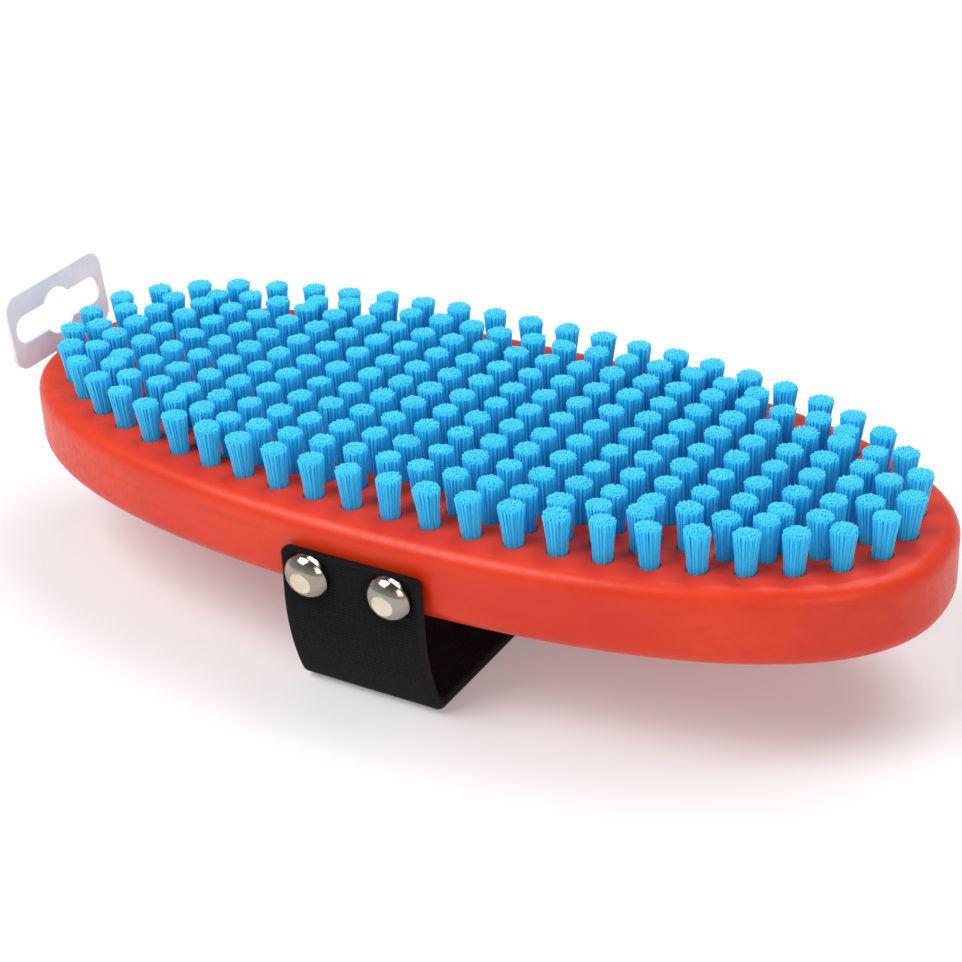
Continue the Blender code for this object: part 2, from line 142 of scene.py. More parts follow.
# Stage: the floor lies just under the strap, so that the two never share a plane.
FLOOR_REACH = 6.0
FLOOR_DROP = 0.0001
FLOOR_GLOW = 0.22
WORLD_HORIZON = (0.62, 0.63, 0.65)
WORLD_OVERHEAD = (0.16, 0.16, 0.17)


# ---------------------------------------------------------------- shapes


def piece_from_mesh(name, mesh, body, nodes, materials, sharp_degrees=None):
    """Makes a piece that stands for CAD nodes and rides on their body."""
    for material in materials:
        mesh.materials.append(material)
    mesh.polygons.foreach_set("use_smooth", [True] * len(mesh.polygons))
    if sharp_degrees:
        mesh.set_sharp_from_angle(angle=math.radians(sharp_degrees))
    piece = bpy.data.objects.new(name, mesh)
    bpy.context.scene.collection.objects.link(piece)
    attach(piece, body)
    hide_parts(*nodes)
    return piece


def mesh_from_bmesh(name, mesh_data):
    bmesh.ops.recalc_face_normals(mesh_data, faces=mesh_data.faces[:])
    mesh = bpy.data.meshes.new(name)
    mesh_data.to_mesh(mesh)
    mesh_data.free()
    return mesh


def bridge_rings(mesh_data, rings):
    """Joins closed rings of vertices, one after the other, and closes both ends."""
    for lower, upper in zip(rings, rings[1:]):
        count = len(lower)
        for index in range(count):
            after = (index + 1) % count
            quad = (lower[index], lower[after], upper[after], upper[index])
            mesh_data.faces.new(quad)
    mesh_data.faces.new(rings[0][::-1])
    mesh_data.faces.new(rings[-1])


def add_turned(mesh_data, profile, placement, steps):
    """Turns (radius, height) pairs about +Z and places the solid."""
    rings = []
    for radius, height in profile:
        ring = []
        for index in range(steps):
            angle = 2 * math.pi * index / steps
            point = Vector((radius * math.cos(angle), radius * math.sin(angle), height))
            ring.append(mesh_data.verts.new(placement @ point))
        rings.append(ring)
    bridge_rings(mesh_data, rings)


def arc_points(centre, radius, start, end, steps):
    """Points (u, v) along an arc, both ends included."""
    points = []
    for index in range(steps + 1):
        angle = start + (end - start) * index / steps
        points.append(centre + Vector((math.cos(angle), math.sin(angle))) * radius)
    return points


def carved(mesh, cutter_mesh):
    """The mesh with the cutter taken out of it."""
    body = bpy.data.objects.new("uncut", mesh)
    cutter = bpy.data.objects.new("cutter", cutter_mesh)
    bpy.context.scene.collection.objects.link(body)
    bpy.context.scene.collection.objects.link(cutter)
    cut = body.modifiers.new("cut", "BOOLEAN")
    cut.operation = "DIFFERENCE"
    cut.solver = "EXACT"
    cut.object = cutter
    bpy.context.view_layer.update()
    result = bpy.data.meshes.new_from_object(
        body.evaluated_get(bpy.context.evaluated_depsgraph_get())
    )
    bpy.data.objects.remove(body)
    bpy.data.objects.remove(cutter)
    return result


# ---------------------------------------------------------------- material nodes


def start_material(name, colour, roughness, **settings):
    """A Principled material. Its uniform values go straight onto the shader's sockets."""
    material = bpy.data.materials.new(name)
    material.use_nodes = True
    shader = material.node_tree.nodes["Principled BSDF"]
    shader.inputs["Base Color"].default_value = (*colour, 1.0)
    shader.inputs["Roughness"].default_value = roughness
    for key, value in settings.items():
        shader.inputs[key.replace("_", " ")].default_value = value
    return material, material.node_tree, shader


def node(tree, kind, inputs=(), **properties):
    """Adds a node. Each input is (socket, value or the output that feeds it)."""
    made = tree.nodes.new(kind)
    for key, value in properties.items():
        setattr(made, key, value)
    for socket, source in inputs:
        if isinstance(source, bpy.types.NodeSocket):
            tree.links.new(source, made.inputs[socket])
        else:
            made.inputs[socket].default_value = source
    return made


def object_place(tree):
    return node(tree, "ShaderNodeTexCoord").outputs["Object"]


def noise_value(tree, place, scale, detail=3.0):
    """Noise whose scale along each axis is in features per metre."""
    stretched = node(tree, "ShaderNodeMapping", [("Vector", place), ("Scale", scale)])
    grain = node(
        tree,
        "ShaderNodeTexNoise",
        [("Vector", stretched.outputs["Vector"]), ("Scale", 1.0), ("Detail", detail)],
    )
    return grain.outputs["Fac"]


def maths(tree, operation, first, second=0.0):
    made = node(tree, "ShaderNodeMath", [(0, first), (1, second)], operation=operation)
    return made.outputs["Value"]


def between(tree, value, low, high, new_low=0.0, new_high=1.0):
    """Maps low..high to new_low..new_high and holds the ends."""
    inputs = [("Value", value), ("From Min", low), ("From Max", high)]
    inputs += [("To Min", new_low), ("To Max", new_high)]
    return node(tree, "ShaderNodeMapRange", inputs).outputs["Result"]


def blended(tree, share, first, second):
    """A colour between two colours, each a triple or an output."""
    colours = [c if isinstance(c, bpy.types.NodeSocket) else (*c, 1.0) for c in (first, second)]
    made = node(tree, "ShaderNodeMix", data_type="RGBA")
    for socket, source in zip(("Factor_Float", "A_Color", "B_Color"), (share, *colours)):
        target = next(s for s in made.inputs if s.identifier == socket)
        if isinstance(source, bpy.types.NodeSocket):
            tree.links.new(source, target)
        else:
            target.default_value = source
    return next(s for s in made.outputs if s.identifier == "Result_Color")


def bumped(tree, height, distance, strength=1.0, below=None):
    inputs = [("Height", height), ("Distance", distance), ("Strength", strength)]
    if below:
        inputs.append(("Normal", below))
    return node(tree, "ShaderNodeBump", inputs).outputs["Normal"]


def finish_material(tree, shader, colour=None, roughness=None, normal=None):
    for socket, source in (("Base Color", colour), ("Roughness", roughness), ("Normal", normal)):
        if source:
            tree.links.new(source, shader.inputs[socket])


# ---------------------------------------------------------------- materials


def lacquer_material():
    """Orange-red lacquer on wood: soft mottling, faint grain lines, a fine orange-peel skin."""
    settings = {"Coat_Weight": 0.10, "Coat_Roughness": 0.25, "Specular_IOR_Level": 0.30}
    material, tree, shader = start_material("red_lacquer", (0.66, 0.03, 0.01), 0.42, **settings)
    place = object_place(tree)
    patches = noise_value(tree, place, (26.0, 26.0, 60.0), 2.0)
    grain = noise_value(tree, place, (14.0, 420.0, 420.0), 4.0)
    peel = noise_value(tree, place, (750.0, 750.0, 750.0), 2.0)
    mottled = blended(
        tree, between(tree, patches, 0.35, 0.65), (0.60, 0.023, 0.0026), (0.68, 0.038, 0.0046)
    )
    lined = blended(tree, between(tree, grain, 0.52, 0.70, 0.0, 0.45), mottled, (0.56, 0.018, 0.003))
    roughness = between(tree, peel, 0.3, 0.7, 0.36, 0.50)
    skin = bumped(tree, peel, 0.00006, 0.6)
    normal = bumped(tree, grain, 0.00010, 0.5, skin)
    finish_material(tree, shader, lined, roughness, normal)
    return material


def nylon_material():
    """Blue nylon, darker towards the roots as painted shade and paler at the trimmed tips as a
    painted highlight; each filament with its own tone.
    """
    settings = {"Subsurface_Weight": 0.30, "Subsurface_Scale": 0.0012, "Specular_IOR_Level": 0.30}
    material, tree, shader = start_material("blue_nylon", (0.04, 0.50, 0.93), 0.38, **settings)
    place = object_place(tree)
    height = node(tree, "ShaderNodeSeparateXYZ", [("Vector", place)]).outputs["Z"]
    tone = node(tree, "ShaderNodeAttribute", attribute_name="tone").outputs["Fac"]
    streaks = noise_value(tree, place, (2600.0, 2600.0, 90.0), 2.0)
    # Painted shade: the colour darkens from the tips down to the roots, where the tufts shade each
    # other.
    raised = between(tree, height, FACE_Z, TUFT_TOP_Z - 0.0006)
    depth = blended(tree, raised, (0.020, 0.500, 0.940), (0.026, 0.540, 0.940))
    toned = blended(tree, between(tree, tone, 0.0, 1.0, 0.0, 0.55), depth, (0.060, 0.640, 0.990))
    # Painted highlight: the top half millimetre of the filaments is paler, for the light falling on
    # the trimmed tips.
    cut = between(tree, height, TUFT_TOP_Z - 0.0005, TUFT_TOP_Z, 0.0, 0.5)
    with_painted_light = blended(tree, cut, toned, (0.070, 0.620, 0.980))
    roughness = between(tree, streaks, 0.3, 0.7, 0.30, 0.48)
    finish_material(tree, shader, with_painted_light, roughness, bumped(tree, streaks, 0.00002, 0.6))
    return material


def webbing_material():
    """Black webbing: fine crosswise ribs with painted shade in their hollows, a softer lengthwise
    yarn, worn and paler at its edges.
    """
    settings = {"Sheen_Weight": 0.02, "Sheen_Roughness": 0.5, "Specular_IOR_Level": 0.10}
    material, tree, shader = start_material("black_webbing", (0.014, 0.014, 0.016), 0.8, **settings)
    place = object_place(tree)
    across = node(tree, "ShaderNodeSeparateXYZ", [("Vector", place)]).outputs["X"]
    run = node(tree, "ShaderNodeAttribute", attribute_name="run").outputs["Fac"]
    ribs = maths(tree, "SINE", maths(tree, "MULTIPLY", run, 2 * math.pi / RIB_PITCH))
    yarns = maths(tree, "SINE", maths(tree, "MULTIPLY", across, 2 * math.pi / YARN_PITCH))
    crossing = maths(tree, "MULTIPLY", ribs, yarns)
    rib_share = maths(tree, "MULTIPLY", ribs, 0.6)
    weave = maths(tree, "ADD", rib_share, maths(tree, "MULTIPLY", crossing, 0.4))
    fuzz = noise_value(tree, place, (2200.0, 2200.0, 2200.0), 4.0)
    worn = noise_value(tree, place, (120.0, 120.0, 120.0), 3.0)
    # Painted shade and highlight: the weave's hollows are darker and its raised ribs paler, as light
    # falls on the relief.
    raised = between(tree, weave, -1.0, 1.0)
    weave_painted_shade = blended(tree, raised, (0.0020, 0.0020, 0.0024), (0.0048, 0.0048, 0.0056))
    dusty = blended(tree, between(tree, worn, 0.45, 0.75, 0.0, 0.5), weave_painted_shade, (0.0065, 0.0065, 0.0072))
    from_middle = maths(tree, "ABSOLUTE", maths(tree, "SUBTRACT", across, STRAP_MIDDLE_X))
    pale = between(tree, from_middle, STRAP_HALF_WIDTH - 0.0009, STRAP_HALF_WIDTH - 0.0001, 0.0, 0.7)
    edged = blended(tree, pale, dusty, (0.016, 0.016, 0.017))
    normal = bumped(tree, weave, 0.00007, 0.6, bumped(tree, fuzz, 0.00008, 0.6))
    finish_material(tree, shader, edged, between(tree, fuzz, 0.3, 0.7, 0.66, 0.9), normal)
    return material


def chrome_material(name, colour, low_roughness, high_roughness):
    """Bright plated steel with hairline scratches and faint smudges."""
    material, tree, shader = start_material(name, colour, low_roughness, Metallic=1.0)
    place = object_place(tree)
    hairlines = noise_value(tree, place, (6000.0, 900.0, 700.0), 3.0)
    smudges = noise_value(tree, place, (420.0, 420.0, 420.0), 3.0)
    warmer = tuple(channel * share for channel, share in zip(colour, (0.97, 0.90, 0.80)))
    tinted = blended(tree, between(tree, smudges, 0.42, 0.68), colour, warmer)
    roughness = between(tree, smudges, 0.35, 0.7, low_roughness, high_roughness)
    finish_material(tree, shader, tinted, roughness, bumped(tree, hairlines, 0.000012, 0.5))
    return material


def tab_material():
    """Frosted translucent plastic with a faintly rippled moulded skin."""
    settings = {"Subsurface_Weight": 0.25, "Subsurface_Scale": 0.001, "Alpha": 0.93}
    material, tree, shader = start_material("frosted_plastic", (0.74, 0.74, 0.77), 0.32, **settings)
    place = object_place(tree)
    clouds = noise_value(tree, place, (120.0, 120.0, 120.0), 3.0)
    ripple = noise_value(tree, place, (200.0, 320.0, 90.0), 2.0)
    tinted = blended(
        tree, between(tree, clouds, 0.35, 0.65), (0.78, 0.78, 0.80), (0.90, 0.90, 0.92)
    )
    roughness = between(tree, clouds, 0.3, 0.7, 0.26, 0.42)
    finish_material(tree, shader, tinted, roughness, bumped(tree, ripple, 0.0004, 0.4))
    return material


def floor_material():
    material, _, shader = start_material("pale_floor", (0.66, 0.66, 0.66), 0.9)
    shader.inputs["Specular IOR Level"].default_value = 0.0
    shader.inputs["Emission Color"].default_value = (1.0, 1.0, 1.0, 1.0)
    shader.inputs["Emission Strength"].default_value = FLOOR_GLOW
    return material


# ---------------------------------------------------------------- block


def outline_factors(count):
    """Even steps along the oval, each as (x, y) shares of its half length and half width."""
    dense = 40 * count
    points = []
    for index in range(dense):
        angle = 2 * math.pi * index / dense
        x = math.copysign(abs(math.cos(angle)) ** (2 / OUTLINE_POWER), math.cos(angle))
        y = math.copysign(abs(math.sin(angle)) ** (2 / OUTLINE_POWER), math.sin(angle))
        points.append((x, y))
    shares = np.array(points)
    closed = np.vstack([shares, shares[:1]])
    steps = np.diff(closed * (BLOCK_HIGH.x, BLOCK_HIGH.y), axis=0)
    travelled = np.concatenate([[0.0], np.cumsum(np.hypot(*steps.T))])
    wanted = np.linspace(0.0, travelled[-1], count, endpoint=False)
    across, along = (np.interp(wanted, travelled, closed[:, axis]) for axis in (0, 1))
    return list(zip(across, along))


def block_profile():
    """(inset, height) pairs from the flat back, round the back rim, up the side, to the flat face."""
    profile = [(BACK_RIM_RADIUS + RIM_BORDER, BACK_Z)]
    for step in range(RIM_STEPS + 1):
        angle = math.pi / 2 * step / RIM_STEPS
        inset = BACK_RIM_RADIUS * (1 - math.sin(angle))
        profile.append((inset, BACK_Z + BACK_RIM_RADIUS * (1 - math.cos(angle))))
    side_low = BACK_Z + BACK_RIM_RADIUS
    side_high = FACE_Z - TOP_RIM_RADIUS
    for step in range(1, SIDE_STEPS):
        profile.append((0.0, side_low + (side_high - side_low) * step / SIDE_STEPS))
    for step in range(RIM_STEPS + 1):
        angle = math.pi / 2 * step / RIM_STEPS
        inset = TOP_RIM_RADIUS * (1 - math.cos(angle))
        profile.append((inset, side_high + TOP_RIM_RADIUS * math.sin(angle)))
    profile.append((TOP_RIM_RADIUS + RIM_BORDER, FACE_Z))
    return profile


def uncut_block_mesh():
    mesh_data = bmesh.new()
    factors = outline_factors(OUTLINE_STEPS)
    rings = []
    for inset, height in block_profile():
        half_length = BLOCK_HIGH.x - inset
        half_width = BLOCK_HIGH.y - inset
        rings.append(
            [mesh_data.verts.new((x * half_length, y * half_width, height)) for x, y in factors]
        )
    bridge_rings(mesh_data, rings)
    return mesh_from_bmesh("lacquered_block", mesh_data)


def hole_cutter_mesh(centres):
    """One mesh with a bevelled drill for every tuft."""
    mesh_data = bmesh.new()
    profile = [
        (HOLE_RADIUS, FACE_Z - HOLE_DEPTH),
        (HOLE_RADIUS, FACE_Z - HOLE_BEVEL),
        (HOLE_RADIUS + 1.25 * HOLE_BEVEL, FACE_Z + 0.25 * HOLE_BEVEL),
    ]
    for centre in centres:
        placement = Matrix.Translation((centre.x, centre.y, 0.0))
        add_turned(mesh_data, profile, placement, HOLE_STEPS)
    return mesh_from_bmesh("drills", mesh_data)


def build_block(material):
    """The block, drilled for one group of tufts after the other."""
    mesh = uncut_block_mesh()
    for name in tuft_nodes():
        mesh = carved(mesh, hole_cutter_mesh(tuft_centres(name)))
    piece_from_mesh(
        "lacquered_block", mesh, "brush", ["brush_block"], [material], 25.0
    )


# ---------------------------------------------------------------- tufts


def tuft_nodes():
    return sorted(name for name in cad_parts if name.startswith("tuft_"))


def tuft_centres(name):
    """The middle of each trimmed top in a CAD node of tufts."""
    mesh_data = bmesh.new()
    mesh_data.from_mesh(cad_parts[name].data)
    bmesh.ops.remove_doubles(mesh_data, verts=mesh_data.verts, dist=1e-6)
    lower = [vertex for vertex in mesh_data.verts if vertex.co.z < TUFT_TOP_Z - 1e-5]
    bmesh.ops.delete(mesh_data, geom=lower, context="VERTS")
    seen = set()
    centres = []
    for vertex in mesh_data.verts:
        if vertex in seen:
            continue
        seen.add(vertex)
        island = [vertex]
        for member in island:
            for edge in member.link_edges:
                other = edge.other_vert(member)
                if other not in seen:
                    seen.add(other)
                    island.append(other)
        centres.append(sum((member.co for member in island), Vector()) / len(island))
    mesh_data.free()
    return sorted(centres, key=lambda centre: (round(centre.x, 5), round(centre.y, 5)))


def outward(centre):
    """The direction straight out of the oval at a point near its edge."""
    slopes = []
    for place, half in ((centre.x, BLOCK_HIGH.x), (centre.y, BLOCK_HIGH.y)):
        share = abs(place / half) ** (OUTLINE_POWER - 1) / half
        slopes.append(math.copysign(share, place))
    return Vector(slopes).normalized()


def tuft_filaments(centre, lean, rng):
    """One tuft's filaments, the outer ones whole and the inner ones only where they show.

    Each of the two is an array of filaments by levels by sides by xyz.
    """
    order = np.arange(FILAMENTS)
    share = np.sqrt((order + 0.5) / FILAMENTS)
    angle = order * GOLDEN_ANGLE + rng.uniform(0.0, 2 * math.pi)
    heading = np.stack([np.cos(angle), np.sin(angle)], axis=1)
    root = heading * (share * (TUFT_ROOT_RADIUS - FILAMENT_RADIUS))[:, None]
    top_radius = (TUFT_TOP_RADIUS - FILAMENT_RADIUS) * rng.uniform(0.95, 1.05)
    top = heading * (share * top_radius)[:, None] + rng.normal(0, TIP_PLACE_SCATTER, (FILAMENTS, 2))
    length = TUFT_HEIGHT - TOP_CROWN * share**4 + top @ rng.normal(0.0, TRIM_SLOPE, 2)
    length += rng.normal(0.0, TIP_LENGTH_SCATTER, FILAMENTS)
    sunk = np.full(FILAMENTS, -ROOT_SINK)
    tip = length - 0.45 * FILAMENT_RADIUS
    whole = np.stack([sunk, 0.35 * length, 0.72 * length, tip, length], axis=1)
    partial = np.stack([INNER_START * length, tip, length], axis=1)
    groups = []
    for chosen, heights in ((share >= OUTER_SHARE, whole), (share < OUTER_SHARE, partial)):
        heights = heights[chosen]
        flare = (np.clip(heights / TUFT_HEIGHT, 0.0, None) ** FLARE_POWER)[:, :, None]
        middle = root[chosen, None, :] * (1 - flare) + top[chosen, None, :] * flare
        middle = middle + heights[:, :, None] * lean + np.array((centre.x, centre.y))
        groups.append(filament_rings(middle, heights + FACE_Z))
    return groups


def filament_rings(middle, heights):
    """Puts a small polygon round each point of the filaments' middles. The last is the blunt tip."""
    corner = np.arange(FILAMENT_SIDES) * 2 * math.pi / FILAMENT_SIDES
    section = np.stack([np.cos(corner), np.sin(corner)], axis=1) * FILAMENT_RADIUS
    widths = np.ones(heights.shape[1])
    widths[-1] = TIP_SHARE
    flat = middle[:, :, None, :] + section[None, None] * widths[None, :, None, None]
    lift = np.broadcast_to(heights[:, :, None, None], flat.shape[:3] + (1,))
    return np.concatenate([flat, lift], axis=3)


def filament_faces(first, count, levels):
    """Side quads and end caps for every filament, numbered from the first vertex."""
    faces = []
    for filament in range(count):
        base = first + filament * levels * FILAMENT_SIDES
        for level in range(levels - 1):
            low = base + level * FILAMENT_SIDES
            high = low + FILAMENT_SIDES
            for side in range(FILAMENT_SIDES):
                after = (side + 1) % FILAMENT_SIDES
                faces.append((low + side, low + after, high + after, high + side))
        cap = base + (levels - 1) * FILAMENT_SIDES
        faces.append(tuple(range(cap, cap + FILAMENT_SIDES)))
    return faces


def build_tufts(name, seed, material):
    rng = np.random.default_rng(seed)
    points = []
    faces = []
    tones = []
    for centre in tuft_centres(name):
        lean = rng.normal(0.0, TUFT_LEAN, 2)
        if name.startswith("tuft_ring"):
            lean = lean + np.array(outward(centre)) * RING_LEAN
        tuft_tone = rng.uniform(0.35, 0.65)
        for rings in tuft_filaments(centre, lean, rng):
            count, levels = rings.shape[:2]
            faces += filament_faces(len(points), count, levels)
            points += rings.reshape(-1, 3).tolist()
            tone = np.clip(rng.normal(tuft_tone, TONE_SCATTER, count), 0.0, 1.0)
            tones.append(np.repeat(tone, levels * FILAMENT_SIDES))
    mesh = bpy.data.meshes.new("bristles_" + name)
    mesh.from_pydata(points, [], faces)
    mesh.attributes.new("tone", "FLOAT", "POINT").data.foreach_set("value", np.concatenate(tones))
    piece_from_mesh("bristles_" + name, mesh, "brush", [name], [material])


# ---------------------------------------------------------------- strap


def half_strap_line():
    """The middle of the band as (y, z), from the near side's top end down to the bottom's middle."""
    half = STRAP_THICKNESS / 2
    outer_y = STRAP_HIGH.y
    bow_centre = Vector((STRAP_BOW_RADIUS - outer_y, BACK_Z))
    rise = BACK_Z - STRAP_FOLD_RADIUS
    across = STRAP_BOW_RADIUS - STRAP_FOLD_RADIUS
    fold_centre = bow_centre - Vector((math.sqrt(across**2 - rise**2), rise))
    turn = math.asin(rise / across)
    line = [Vector((-outer_y + half, STRAP_HIGH.z))]
    line += arc_points(bow_centre, STRAP_BOW_RADIUS - half, math.pi, math.pi + turn, 40)
    line += arc_points(fold_centre, STRAP_FOLD_RADIUS - half, math.pi + turn, 1.5 * math.pi, 16)[1:]
    line.append(Vector((0.0, half)))
    return line


def strap_stations():
    """Even stations (distance, place, direction) along the whole band."""
    half = half_strap_line()
    line = half + [Vector((-point.x, point.y)) for point in half[-2::-1]]
    places = np.array([tuple(point) for point in line])
    travelled = np.concatenate([[0.0], np.cumsum(np.hypot(*np.diff(places, axis=0).T))])
    wanted = np.linspace(0.0, travelled[-1], STRAP_STATIONS)
    ends = STRAP_END_REACH * np.array((0.15, 0.5, 1.0))
    wanted = np.unique(np.concatenate([wanted, ends, travelled[-1] - ends]))
    step = 0.00005
    stations = []
    for distance in wanted:
        around = [np.clip(distance + offset, 0.0, travelled[-1]) for offset in (-step, step)]
        low, high = [Vector([np.interp(d, travelled, axis) for axis in places.T]) for d in around]
        place = Vector([np.interp(distance, travelled, axis) for axis in places.T])
        stations.append((distance, place, (high - low).normalized()))
    return stations


def section_points(half_width, half_thickness):
    """(across, out) points round the band's section. The outer face comes first."""
    edge = min(STRAP_EDGE_RADIUS, half_thickness)
    flat = half_width - edge
    points = []
    for face in (1.0, -1.0):
        for step in range(STRAP_ACROSS):
            points.append((face * flat * (2 * step / STRAP_ACROSS - 1), face * half_thickness))
        for step in range(STRAP_EDGE_STEPS):
            angle = math.pi * step / STRAP_EDGE_STEPS
            across = face * (flat + edge * math.sin(angle))
            points.append((across, face * half_thickness * math.cos(angle)))
    return points


def stud_press(place, across, stud_places):
    """How far the studs press the band's outer face in at a point."""
    press = 0.0
    for stud in stud_places:
        apart = Vector((across - stud.x, place.y - stud.z)).length
        if place.x * stud.y > 0:
            press += DIMPLE_DEPTH * math.exp(-((apart / DIMPLE_REACH) ** 6))
    return press


def strap_section(distance, total, place, direction, stud_places):
    """One closed ring of points round the band."""
    to_end = min(distance, total - distance)
    rounding = max(STRAP_CORNER_RADIUS - to_end, 0.0)
    drawn_in = STRAP_CORNER_RADIUS - math.sqrt(STRAP_CORNER_RADIUS**2 - rounding**2)
    half_width = STRAP_HALF_WIDTH - drawn_in
    thinned = 1.0 - max(0.0, 1.0 - to_end / STRAP_END_REACH) ** 2 * STRAP_END_THINNING
    out = Vector((direction.y, -direction.x))
    ring = []
    for across, offset in section_points(half_width, STRAP_THICKNESS / 2 * thinned):
        x = STRAP_MIDDLE_X + across
        if offset > 0:
            offset -= stud_press(place, x, stud_places)
        ripple = noise.noise(Vector((across * 90, distance * 70, 0.4))) * STRAP_RIPPLE
        if place.y > BACK_Z:
            ripple = 0.0
        point = place + out * (offset + ripple)
        ring.append(Vector((x, point.x, max(point.y, 0.0))))
    return ring


def build_strap(stud_places, material):
    mesh_data = bmesh.new()
    layer = mesh_data.verts.layers.float.new("run")
    stations = strap_stations()
    total = stations[-1][0]
    rings = []
    for distance, place, direction in stations:
        ring = []
        for point in strap_section(distance, total, place, direction, stud_places):
            vertex = mesh_data.verts.new(point)
            vertex[layer] = distance
            ring.append(vertex)
        rings.append(ring)
    bridge_rings(mesh_data, rings)
    mesh = mesh_from_bmesh("webbing_strap", mesh_data)
    piece_from_mesh("webbing_strap", mesh, "brush", ["hand_strap"], [material], 50.0)


# ---------------------------------------------------------------- studs and screw


def stud_names():
    return sorted(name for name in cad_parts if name.startswith("strap_stud_"))


def stud_place(name):
    """Where a stud's head sits on the strap: its axis, and the face under the head."""
    low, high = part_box(name)
    side = math.copysign(1.0, low.y + high.y)
    crown_y = high.y if side > 0 else low.y
    return Vector(((low.x + high.x) / 2, crown_y - side * STUD_HEAD_HEIGHT, (low.z + high.z) / 2))


def stud_profile(head_radius):
    """(radius, height) pairs of a domed head, up to the crisp edge of its flat crown."""
    profile = [(head_radius - 0.0001, -STUD_SEAT_SINK), (head_radius, -STUD_SEAT_SINK * 0.8)]
    profile += [(head_radius, 0.00030), (head_radius - 0.00004, 0.00046)]
    rim_height = 0.00054
    dome_height = STUD_HEAD_HEIGHT - 0.00010 - rim_height
    dome_reach = head_radius - 0.0001 - STUD_CROWN_RADIUS
    for step in range(13):
        angle = math.pi / 2 * step / 12
        share = 0.55 * math.sin(angle) + 0.45 * step / 12
        inward = 0.45 * (1 - math.cos(angle)) + 0.55 * step / 12
        radius = head_radius - 0.0001 - dome_reach * inward
        profile.append((radius, rim_height + dome_height * share))
    return profile


def crown_profile():
    edge = STUD_CROWN_RADIUS - 0.00005
    flat = STUD_HEAD_HEIGHT
    return [
        (edge, flat - 0.0005),
        (edge, flat - 0.00006),
        (edge - 0.00008, flat),
        (edge * 0.6, flat - 0.00003),
        (edge * 0.1, flat - 0.00005),
    ]


def build_stud(name, materials):
    low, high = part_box(name)
    seat = stud_place(name)
    side = math.copysign(1.0, seat.y)
    turn = -side * (math.pi / 2 + STUD_TILT)
    placement = Matrix.Translation(seat) @ Matrix.Rotation(turn, 4, "X")
    mesh_data = bmesh.new()
    add_turned(mesh_data, stud_profile((high.x - low.x) / 2), placement, TURNED_STEPS)
    dome_faces = len(mesh_data.faces)
    add_turned(mesh_data, crown_profile(), placement, TURNED_STEPS)
    for index, face in enumerate(mesh_data.faces):
        face.material_index = 0 if index < dome_faces else 1
    mesh = mesh_from_bmesh("dome_" + name, mesh_data)
    piece_from_mesh("dome_" + name, mesh, "brush", [name], materials, 35.0)


def slot_bar_mesh(placement, turn):
    """A cutter for one bar of the cross recess."""
    mesh_data = bmesh.new()
    made = bmesh.ops.create_cube(mesh_data, size=1.0)
    scale = (SCREW_SLOT_LENGTH, SCREW_SLOT_WIDTH, 2 * SCREW_SLOT_DEPTH)
    bmesh.ops.scale(mesh_data, vec=scale, verts=made["verts"])
    turned = placement @ Matrix.Rotation(turn, 4, "Z")
    bmesh.ops.transform(mesh_data, matrix=turned, verts=mesh_data.verts)
    return mesh_from_bmesh("slot_bar", mesh_data)


def build_screw(material):
    """The pan head of the tab's screw, with a cross recess."""
    radius = (SCREW_HIGH.y - SCREW_LOW.y) / 2
    middle_z = (SCREW_HIGH.z + SCREW_LOW.z) / 2
    placement = Matrix.Translation((SCREW_LOW.x + SCREW_HEAD_HEIGHT, 0.0, middle_z))
    placement = placement @ Matrix.Rotation(-math.pi / 2, 4, "Y")
    profile = [(0.0012, -0.0040), (0.0012, 0.0), (radius - 0.0001, 0.0), (radius, 0.0001)]
    for step in range(1, 11):
        angle = math.pi / 2 * step / 10
        height = 0.0003 + (SCREW_HEAD_HEIGHT - 0.0003) * math.sin(angle)
        profile.append((0.0004 + (radius - 0.0004) * math.cos(angle) ** 0.7, height))
    mesh_data = bmesh.new()
    add_turned(mesh_data, profile, placement, TURNED_STEPS)
    mesh = mesh_from_bmesh("pan_head_screw", mesh_data)
    slot_place = placement @ Matrix.Translation((0.0, 0.0, SCREW_HEAD_HEIGHT))
    for turn in (0.0, math.pi / 2):
        mesh = carved(mesh, slot_bar_mesh(slot_place, turn))
    piece_from_mesh("pan_head_screw", mesh, "brush", ["tab_screw"], [material], 35.0)


# ---------------------------------------------------------------- hang tab


def rounded_corner(corner, before, after, radius, steps=12):
    """Points that replace a square corner by a quarter circle."""
    into = (before - corner).normalized()
    out = (after - corner).normalized()
    centre = corner + (into + out) * radius
    points = []
    for index in range(steps + 1):
        angle = math.pi / 2 * index / steps
        points.append(centre - out * radius * math.cos(angle) - into * radius * math.sin(angle))
    return points


def tab_outline(screw_z):
    """The tab's outline in (y, z): the round foot, the neck and the wide head."""
    half = TAB_HIGH.y
    low = FACE_Z - TAB_BELOW_FACE
    high = FACE_Z + TAB_HEAD_TOP_ABOVE_FACE
    neck = TAB_NECK_WIDTH / 2
    corners = [Vector(p) for p in ((half, low), (half, high), (-half, high), (-half, low))]
    below = Vector((0.0, low))
    outline = [Vector((neck, low))]
    for before, corner, after in zip([below] + corners, corners, corners[1:] + [below]):
        outline += rounded_corner(corner, before, after, TAB_CORNER_RADIUS)
    outline.append(Vector((-neck, low)))
    start = math.acos(neck / TAB_FOOT_RADIUS)
    foot = Vector((0.0, screw_z))
    outline += arc_points(foot, TAB_FOOT_RADIUS, math.pi - start, 2 * math.pi + start, 40)
    return outline


